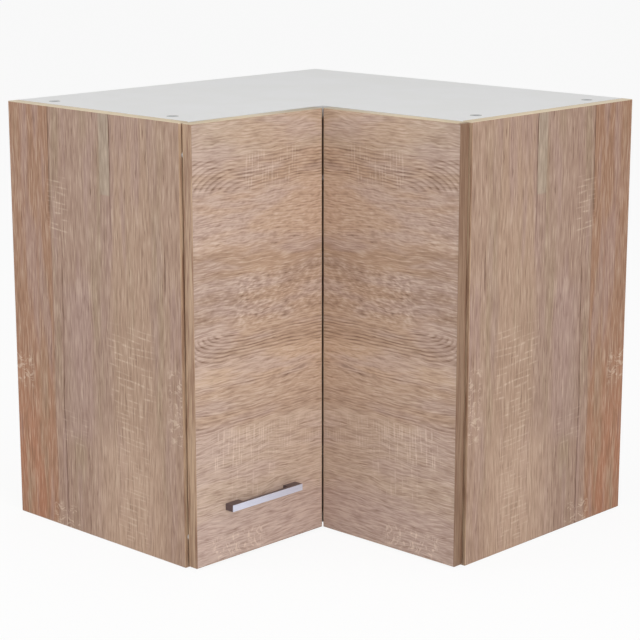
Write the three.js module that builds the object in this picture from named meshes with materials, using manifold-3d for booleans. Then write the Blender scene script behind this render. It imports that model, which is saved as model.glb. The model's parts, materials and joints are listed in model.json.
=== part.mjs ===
// Corner wall cabinet with a folding two-leaf door, in millimetres, +Z up.
// The room's walls stand behind -X and +Y. The origin is the middle of the square plan, at the underside.
// A wing is measured from the room's corner: "along" runs along its wall and "depth" away from it.

import * as THREE from 'three';
import Module from 'manifold-3d';
import { mergeVertices } from 'three/addons/utils/BufferGeometryUtils.js';

const wasm = await Module();
wasm.setup();

// Carcass
const wallLength = 600;
const cabinetHeight = 582;
const wingDepth = 342;
const boardThickness = 16;
const backThickness = 3;
const backSetback = 16;
const grooveDepth = 7;
const postWidth = 38;

// Doors
const doorThickness = 16;
const doorGap = 2;
const doorEndInset = 4;
const doorBottomReveal = 2;
const doorTopReveal = 0.5;
const leafCornerGap = 2.2;

// Shelf
const shelfLevel = 283;
const shelfSetback = 20;
const shelfEndPlay = 0.6;
const shelfPinRear = 60;
const shelfPinFromFront = 52;
const shelfHolePitch = 32;

// Cam-lock joints and dowels
const camDiameter = 15;
const camHeight = 12.4;
const camReach = 24;
const camRear = 50;
const camFromFront = 55;
const camEccentricity = 0.5;
const camChamberDiameter = 10;
const camDriveSlot = 9;
const camDriveWidth = 1.6;
const camDriveDepth = 2;
const boltThreadDiameter = 5;
const boltThreadLength = 10.5;
const boltShaftDiameter = 6.8;
const boltNeckDiameter = 4.2;
const boltHeadLength = 3;
const boltTipTaper = 2;
const dowelDiameter = 8;
const dowelLength = 30;
const dowelInPanel = 10;
const dowelChamfer = 1;

// Cup hinges
const cupDiameter = 34.6;
const cupWall = 1.3;
const cupDepth = 11.5;
const cupFloor = 0.8;
const cupFlangeDiameter = 38;
const cupFlangeThickness = 1;
const cupEarSpan = 56;
const cupEarWidth = 16;
const cupEdgeDistance = 22.5;
const hingeInset = 100;
const armWidth = 13;
const armSheet = 1.2;
const armRise = 15;
const armHeelRun = 8;
const armHeelRise = 5;
const armBend = 3;
const armFrontSetback = 1;
const plateThickness = 4;
const plateStart = 16;
const plateLength = 40;
const plateWingSpan = 46;
const plateWingWidth = 14;
const plateBodyWidth = 15;

// Links of the side hinges, in plan: across from the cup's axis towards the leaf's outer end, and
// depth below the leaf's back. The first link turns on the arm and the second in the cup.
const armPivotAcross = 1.8;
const armPivotDepth = 7.8;
const cupPivotAcross = 4;
const cupPivotDepth = 1.6;
const linkJointAcross = -13.1;
const linkJointDepth = 0.8;
const linkWidth = 4.2;
const linkThickness = 2.8;
const linkPinDiameter = 2;
const tongueWidth = 5.2;

// Neck and nose of the hinge between the leaves
const foldNeckClearance = 3.3;
const foldNeckWidth = 9.5;
const foldNoseOutward = 7.8;
const foldNoseInward = 6.2;
const foldOuterBend = 12;
const foldNoseBend = 8;
const foldInnerBend = 5;
const foldNoseChamfer = 2;

// Handle
const handleLength = 130;
const handleHeight = 9;
const handleProjection = 14;
const handleBarThickness = 4.5;
const handleFootLength = 23;
const handleScrewSpacing = 96;
const handleAboveDoorBottom = 72.7;
const handleScrewDiameter = 4;
const handleScrewHeadDiameter = 8;
const handleScrewHeadHeight = 2.4;
const handleScrewGrip = 7;
const handleInnerCorner = 1.5;

// Shelf pins, bumpers and wall hangers
const pinDiameter = 5;
const pinInsert = 9;
const pinReach = 8;
const pinHeadDiameter = 8;
const bumperDiameter = 9;
const bumperFromEnd = 40;
const hangerLength = 58;
const hangerThickness = 14;
const hangerHeight = 48;
const hangerDrop = 10;
const hangerWall = 1.6;
const hangerSlotHeight = 30;
const hangerFrontWall = 4.8;
const hangerScrewDiameter = 6;
const hangerWallGap = 1;
const hookThickness = 3;
const hookHeight = 20;
const hookWallGap = 0.5;
const hookHeelDepth = 12;
const hookHeelThickness = 3;

// Clearances
const seam = 0.2;
const play = 0.3;
const overcut = 1;
const chamfer = 0.8;
const roundSides = 24;
const smallSides = 12;

const half = wallLength / 2;
const insideEnd = wallLength - boardThickness;
const frontFace = wingDepth + doorGap + doorThickness;
const doorBack = wingDepth + doorGap;
const doorBottom = doorBottomReveal;
const doorTop = cabinetHeight - doorTopReveal;
const leafInnerEnd = frontFace + leafCornerGap;
const leafOuterEnd = wallLength - doorEndInset;
const boardMiddle = boardThickness / 2;
const backFront = backSetback + backThickness;
const hingeLevels = { lower: doorBottom + hingeInset, upper: doorTop - hingeInset };
const handleLevel = doorBottom + handleAboveDoorBottom;
const camDepths = { rear: camRear, front: wingDepth - camFromFront };
const shelfPinDepths = { rear: shelfPinRear, front: wingDepth - shelfPinFromFront };

const wings = {
  left: (along, depth, z) => new THREE.Vector3(-half + depth, half - along, z),
  right: (along, depth, z) => new THREE.Vector3(-half + along, half - depth, z),
};

const cabinet = new THREE.Group();

const finishes = {
  oak: { color: 0xa98c7c, roughness: 0.55, metalness: 0 },
  white: { color: 0xd6d6d6, roughness: 0.5, metalness: 0 },
  hardboard: { color: 0xdedcd6, roughness: 0.7, metalness: 0 },
  beech: { color: 0xc9a36f, roughness: 0.7, metalness: 0 },
  zinc: { color: 0x85878b, roughness: 0.45, metalness: 0.9 },
  steel: { color: 0xb4b4b8, roughness: 0.3, metalness: 1 },
  satin: { color: 0xc4c4d4, roughness: 0.35, metalness: 0.9 },
  rubber: { color: 0xcfcfcf, roughness: 0.6, metalness: 0 },
  plastic: { color: 0xe8e6e0, roughness: 0.5, metalness: 0 },
};

// Solids and meshes

function toSolid(geometry) {
  geometry.deleteAttribute('normal');
  geometry.deleteAttribute('uv');
  const merged = mergeVertices(geometry, 1e-4);
  const mesh = new wasm.Mesh({
    numProp: 3,
    vertProperties: new Float32Array(merged.attributes.position.array),
    triVerts: new Uint32Array(merged.index.array),
  });
  return new wasm.Manifold(mesh);
}

function toGeometry(solid) {
  const mesh = solid.getMesh();
  const geometry = new THREE.BufferGeometry();
  geometry.setAttribute('position', new THREE.BufferAttribute(new Float32Array(mesh.vertProperties), 3));
  geometry.setIndex(new THREE.BufferAttribute(new Uint32Array(mesh.triVerts), 1));
  geometry.computeVertexNormals();
  return geometry;
}

// Adds a solid to a group as a mesh whose own origin is the given place.
function addMesh(group, name, solid, finish, place = new THREE.Vector3(), turn = [0, 0, 0]) {
  const mesh = new THREE.Mesh(toGeometry(solid), new THREE.MeshStandardMaterial(finishes[finish]));
  mesh.name = name;
  mesh.position.copy(place);
  mesh.rotation.set(...turn);
  group.add(mesh);
  return mesh;
}

// Adds a board that was cut in the cabinet's frame, moved so that its mesh's origin is its middle.
function addBoard(group, name, solid, finish) {
  const geometry = toGeometry(solid);
  geometry.computeBoundingBox();
  const middle = geometry.boundingBox.getCenter(new THREE.Vector3());
  geometry.translate(-middle.x, -middle.y, -middle.z);
  const mesh = new THREE.Mesh(geometry, new THREE.MeshStandardMaterial(finishes[finish]));
  mesh.name = name;
  mesh.position.copy(middle);
  group.add(mesh);
}

function block(low, high) {
  const size = high.clone().sub(low);
  const middle = high.clone().add(low).multiplyScalar(0.5);
  const box = new THREE.BoxGeometry(Math.abs(size.x), Math.abs(size.y), Math.abs(size.z));
  return toSolid(box.translate(middle.x, middle.y, middle.z));
}

function blockOf(x, y, z) {
  return block(new THREE.Vector3(x[0], y[0], z[0]), new THREE.Vector3(x[1], y[1], z[1]));
}

function wingBlock(wing, along, depth, height) {
  return block(wings[wing](along[0], depth[0], height[0]), wings[wing](along[1], depth[1], height[1]));
}

function rod(start, end, diameter, sides = roundSides) {
  const axis = end.clone().sub(start);
  const middle = end.clone().add(start).multiplyScalar(0.5);
  const cylinder = new THREE.CylinderGeometry(diameter / 2, diameter / 2, axis.length(), sides);
  const turn = new THREE.Quaternion().setFromUnitVectors(new THREE.Vector3(0, 1, 0), axis.normalize());
  return toSolid(cylinder.applyQuaternion(turn).translate(middle.x, middle.y, middle.z));
}

// A rod in wing measures, from one point to another.
function wingRod(wing, start, end, diameter, sides) {
  return rod(wings[wing](...start), wings[wing](...end), diameter, sides);
}

// A small bore in wing measures, with play all round what goes into it.
function wingBore(wing, start, end, diameter) {
  return wingRod(wing, start, end, diameter + 2 * play, smallSides);
}

function cutAll(solid, cutters) {
  return cutters.reduce((rest, cutter) => rest.subtract(cutter), solid);
}

// Turns a profile of [radius, height] pairs round the Y axis.
function turned(profile, sides = roundSides) {
  return toSolid(new THREE.LatheGeometry(profile.map(([r, h]) => new THREE.Vector2(r, h)), sides));
}

// Extrudes a plan outline upwards, centred on z = 0.
function platform(shape, height, curveSegments = 6) {
  const options = { depth: height, bevelEnabled: false, curveSegments };
  return toSolid(new THREE.ExtrudeGeometry(shape, options).translate(0, 0, -height / 2));
}

// Carcass boards

const boardLevels = { top: cabinetHeight - boardMiddle, bottom: boardMiddle };

function groove(wing, height) {
  const depth = [backSetback - play, backFront + play];
  return wingBlock(wing, [postWidth - grooveDepth, insideEnd + grooveDepth], depth, height);
}

function shelfPinLevels() {
  const base = shelfLevel - play - pinHeadDiameter / 2;
  return [base - shelfHolePitch, base, base + shelfHolePitch];
}

function endPanel(wing) {
  const board = wingBlock(wing, [insideEnd, wallLength], [0, wingDepth], [0, cabinetHeight]);
  const inner = insideEnd - overcut;
  const cutters = [
    groove(wing, [boardThickness - grooveDepth, cabinetHeight - boardThickness + grooveDepth]),
  ];
  for (const level of Object.values(boardLevels)) {
    for (const depth of Object.values(camDepths)) {
      const end = insideEnd + boltThreadLength + play;
      cutters.push(wingBore(wing, [inner, depth, level], [end, depth, level],
        boltThreadDiameter));
    }
    const middle = wingDepth / 2;
    const end = insideEnd + dowelInPanel + play;
    cutters.push(wingBore(wing, [inner, middle, level], [end, middle, level], dowelDiameter));
  }
  for (const level of shelfPinLevels()) {
    for (const depth of Object.values(shelfPinDepths)) {
      const end = insideEnd + pinInsert + play;
      cutters.push(wingBore(wing, [inner, depth, level], [end, depth, level], pinDiameter));
    }
  }
  return cutAll(board, cutters);
}

// The L-shaped outline that a top, bottom or shelf board fills, in plan.
function cornerOutline(backDepth, end, frontDepth) {
  const corners = [
    wings.left(backDepth, backDepth, 0),
    wings.left(end, backDepth, 0),
    wings.left(end, frontDepth, 0),
    wings.left(frontDepth, frontDepth, 0),
    wings.right(end, frontDepth, 0),
    wings.right(end, backDepth, 0),
  ];
  return new THREE.Shape(corners.map((corner) => new THREE.Vector2(corner.x, corner.y)));
}

function cornerBoard(backDepth, end, frontDepth, bottom) {
  const options = { depth: boardThickness, bevelEnabled: false };
  const outline = cornerOutline(backDepth, end, frontDepth);
  return toSolid(new THREE.ExtrudeGeometry(outline, options).translate(0, 0, bottom));
}

// The top or bottom board: cam bores from its outer face, bolt and dowel bores from its ends, back grooves.
function fixedBoard(isTop) {
  const level = isTop ? boardLevels.top : boardLevels.bottom;
  const outward = isTop ? 1 : -1;
  const outer = level + outward * (boardMiddle + overcut);
  const camFloor = level + outward * (boardMiddle - camHeight - play);
  const inside = level - outward * boardMiddle;
  const grooveFloor = inside + outward * grooveDepth;
  const grooveMouth = inside - outward * overcut;
  const end = insideEnd - seam;
  const cutters = [];
  for (const wing of ['left', 'right']) {
    const camAlong = insideEnd - camReach;
    for (const depth of Object.values(camDepths)) {
      cutters.push(
        wingRod(wing, [camAlong, depth, outer], [camAlong, depth, camFloor], camDiameter + 2 * play),
        wingBore(wing, [insideEnd, depth, level], [camAlong, depth, level], boltShaftDiameter),
      );
    }
    const dowelEnd = insideEnd - (dowelLength - dowelInPanel) - play;
    const middle = wingDepth / 2;
    cutters.push(
      wingBore(wing, [insideEnd, middle, level], [dowelEnd, middle, level], dowelDiameter),
      groove(wing, [grooveMouth, grooveFloor].sort((a, b) => a - b)),
    );
  }
  const post = postWidth / 2;
  const dowelFloor = inside + outward * (dowelInPanel + play);
  cutters.push(wingBore('left', [post, post, grooveMouth], [post, post, dowelFloor],
    dowelDiameter));
  return cutAll(cornerBoard(0, end, wingDepth, level - boardMiddle), cutters);
}

function shelf() {
  const end = insideEnd - shelfEndPlay;
  const board = cornerBoard(backFront + play, end, wingDepth - shelfSetback, shelfLevel);
  const side = postWidth + play;
  const height = [shelfLevel - overcut, shelfLevel + boardThickness + overcut];
  return board.subtract(wingBlock('left', [0, side], [0, side], height));
}

function backPanel(wing) {
  const reach = grooveDepth - play;
  const along = [postWidth - reach, insideEnd + reach];
  const height = [boardThickness - reach, cabinetHeight - boardThickness + reach];
  const panel = wingBlock(wing, along, [backSetback, backFront], height);
  const notchDepth = [backSetback - overcut, backFront + overcut];
  const notchAlong = [insideEnd - hangerThickness - 2 * play, wallLength];
  const hangerBottom = hangerTop() - hangerHeight;
  return panel.subtract(wingBlock(wing, notchAlong, notchDepth, [hangerBottom - play, cabinetHeight]));
}

// The post in the room's corner, with a dowel glued into each of its ends.
function rearPost() {
  const height = [boardThickness + seam, cabinetHeight - boardThickness - seam];
  const post = wingBlock('left', [0, postWidth], [0, postWidth], height);
  const reach = [postWidth - grooveDepth, postWidth + overcut];
  const slot = [backSetback - play, backFront + play];
  const board = cutAll(post, [
    wingBlock('left', reach, slot, height),
    wingBlock('right', reach, slot, height),
    postPinBore(),
  ]);
  const middle = wings.left(postWidth / 2, postWidth / 2, 0);
  const upper = cabinetHeight - boardThickness + dowelInPanel;
  const lower = boardThickness - dowelInPanel;
  return board
    .add(dowel().rotate([-90, 0, 0]).translate([middle.x, middle.y, upper]))
    .add(dowel().rotate([90, 0, 0]).translate([middle.x, middle.y, lower]));
}

// The rear shelf pin stands in the post's face, half way between its free corner and the back panel.
const postPinDepth = (backFront + postWidth) / 2;

function postPinBore() {
  const level = shelfPinLevels()[1];
  return wingBore('right', [postWidth + overcut, postPinDepth, level],
    [postWidth - pinInsert - play, postPinDepth, level], pinDiameter);
}

// Door leaves

function cupBore(wing, along, level) {
  const depth = [doorBack - overcut, doorBack + cupDepth + play];
  return wingRod(wing, [along, depth[0], level], [along, depth[1], level], cupDiameter + 2 * play);
}

const sideCupAlong = leafOuterEnd - cupEdgeDistance;
const foldCupAlong = leafInnerEnd + cupEdgeDistance;
const handleAlong = (leafInnerEnd + leafOuterEnd) / 2;

function leafBoard(wing) {
  return wingBlock(wing, [leafInnerEnd, leafOuterEnd], [doorBack, frontFace], [doorBottom, doorTop]);
}

function rightDoor() {
  const cutters = Object.values(hingeLevels).map((z) => cupBore('right', sideCupAlong, z));
  return cutAll(leafBoard('right'), cutters);
}

function leftDoor() {
  const cutters = Object.values(hingeLevels).map((z) => cupBore('left', foldCupAlong, z));
  for (const side of [-1, 1]) {
    const along = handleAlong + (side * handleScrewSpacing) / 2;
    cutters.push(wingBore('left', [along, doorBack - overcut, handleLevel],
      [along, frontFace + overcut, handleLevel], handleScrewDiameter));
  }
  return cutAll(leafBoard('left'), cutters);
}

// Handle: a flat bar on two long feet. Its own frame has X along the bar and Y away from the door.

function handle() {
  const end = handleLength / 2;
  const foot = end - handleFootLength;
  const under = handleProjection - handleBarThickness;
  const corner = handleInnerCorner;
  const outline = new THREE.Shape();
  outline.moveTo(-end, seam);
  outline.lineTo(-foot, seam);
  outline.lineTo(-foot, under - corner);
  outline.quadraticCurveTo(-foot, under, -foot + corner, under);
  outline.lineTo(foot - corner, under);
  outline.quadraticCurveTo(foot, under, foot, under - corner);
  outline.lineTo(foot, seam);
  outline.lineTo(end, seam);
  outline.lineTo(end, handleProjection);
  outline.lineTo(-end, handleProjection);
  outline.closePath();
  const bar = platform(outline, handleHeight);
  const bores = [-1, 1].map((side) => {
    const x = (side * handleScrewSpacing) / 2;
    return rod(new THREE.Vector3(x, -overcut, 0), new THREE.Vector3(x, handleScrewGrip + play, 0),
      handleScrewDiameter + 2 * play, smallSides);
  });
  return cutAll(bar, bores);
}

// Handle screw, pointing along +Y from under its head, which lies at y < 0.
function handleScrew() {
  const head = handleScrewHeadDiameter / 2;
  const shank = handleScrewDiameter / 2;
  return turned([
    [0, -handleScrewHeadHeight], [head * 0.7, -handleScrewHeadHeight], [head, -handleScrewHeadHeight * 0.5],
    [head, 0], [shank, 0], [shank, doorThickness + handleScrewGrip - seam],
    [0, doorThickness + handleScrewGrip - seam],
  ], 16);
}

// Joint hardware

// Cam: its visible face is at z = 0 and its body below; the bolt comes in along -X at half the board.
function cam() {
  const radius = camDiameter / 2;
  const disc = rod(new THREE.Vector3(0, 0, 0), new THREE.Vector3(0, 0, -camHeight), camDiameter);
  const level = -boardMiddle;
  const headHalf = boltShaftDiameter / 2 + play;
  const neckHalf = boltNeckDiameter / 2 + play;
  const slotEnd = radius + overcut;
  const chamber = rod(new THREE.Vector3(camEccentricity, 0, level - headHalf),
    new THREE.Vector3(camEccentricity, 0, level + headHalf), camChamberDiameter);
  const arm = camDriveSlot / 2;
  const blade = camDriveWidth / 2;
  return cutAll(disc, [
    chamber,
    blockOf([0, slotEnd], [-neckHalf, neckHalf], [level - neckHalf, level + neckHalf]),
    blockOf([-arm, arm], [-blade, blade], [-camDriveDepth, overcut]),
    blockOf([-blade, blade], [-arm, arm], [-camDriveDepth, overcut]),
  ]);
}

// Cam bolt: thread at y < 0, its head at the cam's axis, along +Y.
function camBolt() {
  const thread = boltThreadDiameter / 2;
  const shaft = boltShaftDiameter / 2;
  const neck = boltNeckDiameter / 2;
  const headStart = camReach - boltHeadLength;
  const neckStart = camReach - camDiameter / 2 - chamfer;
  return turned([
    [0, -boltThreadLength], [thread / 2, -boltThreadLength], [thread, -boltThreadLength + boltTipTaper],
    [thread, seam], [shaft - chamfer, seam], [shaft, seam + chamfer], [shaft, neckStart],
    [neck, neckStart + chamfer], [neck, headStart], [shaft, headStart + chamfer],
    [shaft, camReach - chamfer], [shaft - chamfer, camReach], [0, camReach],
  ], smallSides);
}

function dowel() {
  const radius = dowelDiameter / 2;
  return turned([
    [0, 0], [radius - dowelChamfer, 0], [radius, dowelChamfer], [radius, dowelLength - dowelChamfer],
    [radius - dowelChamfer, dowelLength], [0, dowelLength],
  ], 16);
}

// Shelf pin along +Y: the thin peg goes into the board at y = 0 and the shelf rests on the head.
function shelfPin() {
  const peg = pinDiameter / 2;
  const head = pinHeadDiameter / 2;
  return turned([
    [0, -pinInsert], [peg - chamfer, -pinInsert], [peg, -pinInsert + chamfer], [peg, seam], [head, seam],
    [head, pinReach - chamfer], [head - chamfer, pinReach], [0, pinReach],
  ], smallSides);
}

function bumper() {
  const radius = bumperDiameter / 2;
  const height = doorGap - play;
  return turned([
    [0, seam], [radius, seam], [radius, height - chamfer], [radius - chamfer, height], [0, height],
  ], 20);
}

// Hinges

// Cup: its axis is +Y, out of the door's back, and its flange lies on the back at y = 0.
function hingeCup() {
  const radius = cupDiameter / 2;
  const hollow = radius - cupWall;
  const flange = cupFlangeDiameter / 2;
  const rim = seam + cupFlangeThickness;
  const body = turned([
    [0, -cupDepth], [radius - chamfer, -cupDepth], [radius, -cupDepth + chamfer], [radius, seam],
    [flange, seam], [flange, rim], [0, rim],
  ]);
  const ears = new THREE.Shape();
  const side = cupEarWidth / 2;
  const centre = cupEarSpan / 2 - side;
  ears.absarc(0, centre, side, 0, Math.PI);
  ears.absarc(0, -centre, side, Math.PI, 2 * Math.PI);
  ears.closePath();
  const plate = toSolid(new THREE.ExtrudeGeometry(ears, {
    depth: cupFlangeThickness, bevelEnabled: false, curveSegments: 8,
  }).rotateX(Math.PI / 2).translate(0, rim, 0));
  const inside = rod(new THREE.Vector3(0, -cupDepth + cupFloor, 0), new THREE.Vector3(0, rim + overcut, 0),
    2 * hollow);
  return body.add(plate).subtract(inside);
}

// The cup of a side hinge, with the pin of its link standing up from the lower wall.
function linkedCup() {
  const hollow = cupDiameter / 2 - cupWall;
  const foot = Math.sqrt(hollow ** 2 - cupPivotAcross ** 2) + cupWall / 2;
  return hingeCup().add(rod(new THREE.Vector3(cupPivotAcross, -cupPivotDepth, -foot),
    new THREE.Vector3(cupPivotAcross, -cupPivotDepth, -seam), linkPinDiameter, smallSides));
}

// Mounting plate: a cross on the board's face at y = 0, its long arm along X.

function mountingPlate() {
  const middle = plateStart + plateLength / 2;
  const side = plateWingWidth / 2;
  const reach = plateWingSpan / 2 - side;
  const wing = new THREE.Shape();
  wing.absarc(middle, reach, side, 0, Math.PI);
  wing.absarc(middle, -reach, side, Math.PI, 2 * Math.PI);
  wing.closePath();
  const options = { depth: plateThickness - seam, bevelEnabled: false, curveSegments: 8 };
  const cross = toSolid(new THREE.ExtrudeGeometry(wing, options).rotateX(Math.PI / 2)
    .translate(0, plateThickness, 0));
  const bodyHalf = plateBodyWidth / 2;
  return cross.add(blockOf([plateStart, plateStart + plateLength], [seam, plateThickness],
    [-bodyHalf, bodyHalf]));
}

// The channel inside a pressed arm, open towards the plate.
function armChannel(start, end, top) {
  const inner = armWidth / 2 - armSheet;
  return blockOf([start, end], [-overcut, top - armSheet], [-inner, inner]);
}

const armFoot = plateThickness + play;
const armBack = plateStart + plateLength;

// The rear end of an arm's outline: up the heel and over it to the top.
function startArm() {
  const outline = new THREE.Shape();
  outline.moveTo(armBack, armFoot);
  outline.lineTo(armBack, armRise - armHeelRise);
  outline.quadraticCurveTo(armBack, armRise, armBack - armHeelRun, armRise);
  return outline;
}

// A flat bar with round ends between two points of the plan, from one height to another.
function flatBar(start, end, width, height) {
  const turn = Math.atan2(end.y - start.y, end.x - start.x);
  const shape = new THREE.Shape();
  shape.absarc(start.x, start.y, width / 2, turn + Math.PI / 2, turn + 1.5 * Math.PI);
  shape.absarc(end.x, end.y, width / 2, turn - Math.PI / 2, turn + Math.PI / 2);
  shape.closePath();
  const options = { depth: height[1] - height[0], bevelEnabled: false, curveSegments: 8 };
  return toSolid(new THREE.ExtrudeGeometry(shape, options).translate(0, 0, height[0]));
}

// A plan point of the side hinge's linkage, as X back from the panel's front edge and Y out from
// its inner face.
function linkagePoint(across, depth) {
  return new THREE.Vector2(-doorGap - depth, insideEnd - sideCupAlong - across);
}

const armPivot = linkagePoint(armPivotAcross, armPivotDepth);
const cupPivot = linkagePoint(cupPivotAcross, cupPivotDepth);
const linkJoint = linkagePoint(linkJointAcross, linkJointDepth);
const tongueBottom = seam + linkThickness + play;

// Arm on the end panel. A tongue reaches ahead of the panel's edge into the cup, and the pin of the
// first link hangs from it.
function sideArm() {
  const front = armFrontSetback;
  const outline = startArm();
  outline.lineTo(front + armBend, armRise);
  outline.quadraticCurveTo(front, armRise, front, armRise - armBend);
  outline.lineTo(front, armFoot);
  outline.closePath();
  const shell = platform(outline, armWidth)
    .subtract(armChannel(front + armSheet, armBack - armSheet, armRise));
  const root = new THREE.Vector2(front + tongueWidth / 2, armPivot.y);
  const tongue = flatBar(armPivot, root, tongueWidth, [tongueBottom, armWidth / 2]);
  const pin = rod(new THREE.Vector3(armPivot.x, armPivot.y, seam),
    new THREE.Vector3(armPivot.x, armPivot.y, armWidth / 2), linkPinDiameter, smallSides);
  return shell.add(tongue).add(pin);
}

// A link from its pivot to the joint where both links meet. The first lies above the hinge's middle
// and the second below it, so at the joint they only face each other.
function link(pivot, side) {
  const height = side > 0 ? [seam, seam + linkThickness] : [-seam - linkThickness, -seam];
  const bore = rod(new THREE.Vector3(pivot.x, pivot.y, height[0] - overcut),
    new THREE.Vector3(pivot.x, pivot.y, height[1] + overcut), linkPinDiameter + 2 * play, smallSides);
  return flatBar(pivot, linkJoint, linkWidth, height).subtract(bore);
}

// Arm on the right leaf's back: X runs outwards from the leaf's inner end, Y out from its back.
// It turns the inner corner behind both leaves and its nose enters the left leaf's cup.
function foldArm() {
  const corner = leafCornerGap + doorThickness;
  const cupAcross = -(corner + cupEdgeDistance);
  const neckInner = -(corner + foldNeckClearance);
  const neckOuter = neckInner - foldNeckWidth;
  const nose = -corner + cupDepth - cupFloor - play;
  const noseFar = cupAcross - foldNoseOutward;
  const noseNear = cupAcross + foldNoseInward;
  const cut = foldNoseChamfer;
  const outline = startArm();
  outline.lineTo(neckOuter + foldOuterBend, armRise);
  outline.quadraticCurveTo(neckOuter, armRise, neckOuter, armRise - foldOuterBend);
  outline.lineTo(neckOuter, noseFar + foldNoseBend);
  outline.quadraticCurveTo(neckOuter, noseFar, neckOuter + foldNoseBend, noseFar);
  outline.lineTo(nose - cut, noseFar);
  outline.lineTo(nose, noseFar + cut);
  outline.lineTo(nose, noseNear - cut);
  outline.lineTo(nose - cut, noseNear);
  outline.quadraticCurveTo(neckInner, noseNear, neckInner, noseNear + foldInnerBend);
  outline.lineTo(neckInner, armFoot - armBend);
  outline.quadraticCurveTo(neckInner, armFoot, neckInner + armBend, armFoot);
  outline.closePath();
  return platform(outline, armWidth).subtract(armChannel(plateStart, armBack - armSheet, armRise));
}

// Wall hangers

function hangerTop() {
  return cabinetHeight - boardThickness - hangerDrop;
}

const hangerDepth = [hangerWallGap, hangerWallGap + hangerLength];
const hangerScrewEnd = hangerDepth[1] - hangerFrontWall - hangerWall;
const hookMiddle = insideEnd - seam - hangerThickness / 2;

function hangerHousing(wing) {
  const along = [insideEnd - seam - hangerThickness, insideEnd - seam];
  const height = [hangerTop() - hangerHeight, hangerTop()];
  const shell = wingBlock(wing, along, hangerDepth, height);
  const middle = hangerTop() - hangerHeight / 2;
  const slot = hangerSlotHeight / 2;
  const hollow = wingBlock(wing, [along[0] + hangerWall, along[1] - hangerWall],
    [hangerDepth[0] - overcut, hangerDepth[1] - hangerFrontWall], [middle - slot, middle + slot]);
  const screwBore = wingRod(wing, [hookMiddle, hangerDepth[1] + overcut, middle],
    [hookMiddle, hangerScrewEnd, middle], hangerScrewDiameter, smallSides);
  return cutAll(shell, [hollow, screwBore]);
}

function hangerHook(wing) {
  const middle = hangerTop() - hangerHeight / 2;
  const along = [hookMiddle - hookThickness / 2, hookMiddle + hookThickness / 2];
  const height = [middle - hookHeight / 2, middle + hookHeight / 2];
  const shank = wingBlock(wing, along, [hookWallGap, hangerScrewEnd], height);
  const wide = [hookMiddle - hangerThickness / 2 + hangerWall + play,
    hookMiddle + hangerThickness / 2 - hangerWall - play];
  const heel = wingBlock(wing, wide, [hookHeelDepth, hookHeelDepth + hookHeelThickness], height);
  return shank.add(heel);
}

// Assembly

const carcass = new THREE.Group();
const doors = new THREE.Group();
cabinet.add(carcass, doors);

const turnOf = {
  // Rotation that lays a piece's +Y along the wing, towards the room's corner.
  inwards: { left: [0, 0, 0], right: [0, 0, Math.PI / 2] },
};

function buildCarcass() {
  addBoard(carcass, 'left_end_panel', endPanel('left'), 'oak');
  addBoard(carcass, 'right_end_panel', endPanel('right'), 'oak');
  addBoard(carcass, 'top_panel', fixedBoard(true), 'white');
  addBoard(carcass, 'bottom_panel', fixedBoard(false), 'white');
  addBoard(carcass, 'shelf', shelf(), 'white');
  addBoard(carcass, 'left_back_panel', backPanel('left'), 'hardboard');
  addBoard(carcass, 'right_back_panel', backPanel('right'), 'hardboard');
  addBoard(carcass, 'rear_corner_post', rearPost(), 'white');
}

function buildJointHardware() {
  for (const wing of ['left', 'right']) {
    const bolt = camBolt();
    const turn = turnOf.inwards[wing];
    for (const [row, level] of Object.entries(boardLevels)) {
      for (const [place, depth] of Object.entries(camDepths)) {
        addMesh(carcass, `cam_bolt_${wing}_${row}_${place}`, bolt, 'steel',
          wings[wing](insideEnd, depth, level), turn);
        addCam(wing, row, place, depth);
      }
      addMesh(carcass, `dowel_${wing}_${row}`, dowel(), 'beech',
        wings[wing](insideEnd + dowelInPanel, wingDepth / 2, level), turn);
    }
  }
}

// A cam's +X faces its bolt; in the bottom board it is turned over, so its slot shows underneath.
function addCam(wing, row, place, depth) {
  const face = row === 'top' ? cabinetHeight : 0;
  const holder = new THREE.Group();
  holder.position.copy(wings[wing](insideEnd - camReach, depth, face));
  holder.rotation.z = wing === 'left' ? -Math.PI / 2 : 0;
  carcass.add(holder);
  const flip = row === 'top' ? 0 : Math.PI;
  addMesh(holder, `cam_${wing}_${row}_${place}`, cam(), 'zinc', new THREE.Vector3(), [flip, 0, 0]);
}

function buildShelfPins() {
  const level = shelfPinLevels()[1];
  for (const wing of ['left', 'right']) {
    for (const [place, depth] of Object.entries(shelfPinDepths)) {
      addMesh(carcass, `shelf_pin_${wing}_${place}`, shelfPin(), 'steel',
        wings[wing](insideEnd, depth, level), turnOf.inwards[wing]);
    }
  }
  addMesh(carcass, 'shelf_pin_post', shelfPin(), 'steel', wings.right(postWidth, postPinDepth, level),
    [0, 0, -Math.PI / 2]);
}

function buildDoors() {
  addBoard(doors, 'right_door', rightDoor(), 'oak');
  addBoard(doors, 'left_door', leftDoor(), 'oak');
  const grip = wings.left(handleAlong, frontFace, handleLevel);
  addMesh(doors, 'handle', handle(), 'satin', grip, [0, 0, -Math.PI / 2]);
  for (const [place, side] of Object.entries({ outer: 1, inner: -1 })) {
    const along = handleAlong + (side * handleScrewSpacing) / 2;
    addMesh(doors, `handle_screw_${place}`, handleScrew(), 'steel',
      wings.left(along, doorBack - seam, handleLevel), [0, 0, -Math.PI / 2]);
  }
  const bumperAlong = insideEnd + boardThickness / 2;
  for (const [place, level] of Object.entries({
    lower: doorBottom + bumperFromEnd, upper: doorTop - bumperFromEnd,
  })) {
    addMesh(doors, `door_bumper_${place}`, bumper(), 'rubber', wings.left(bumperAlong, doorBack, level),
      [0, 0, Math.PI / 2]);
  }
}

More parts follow.
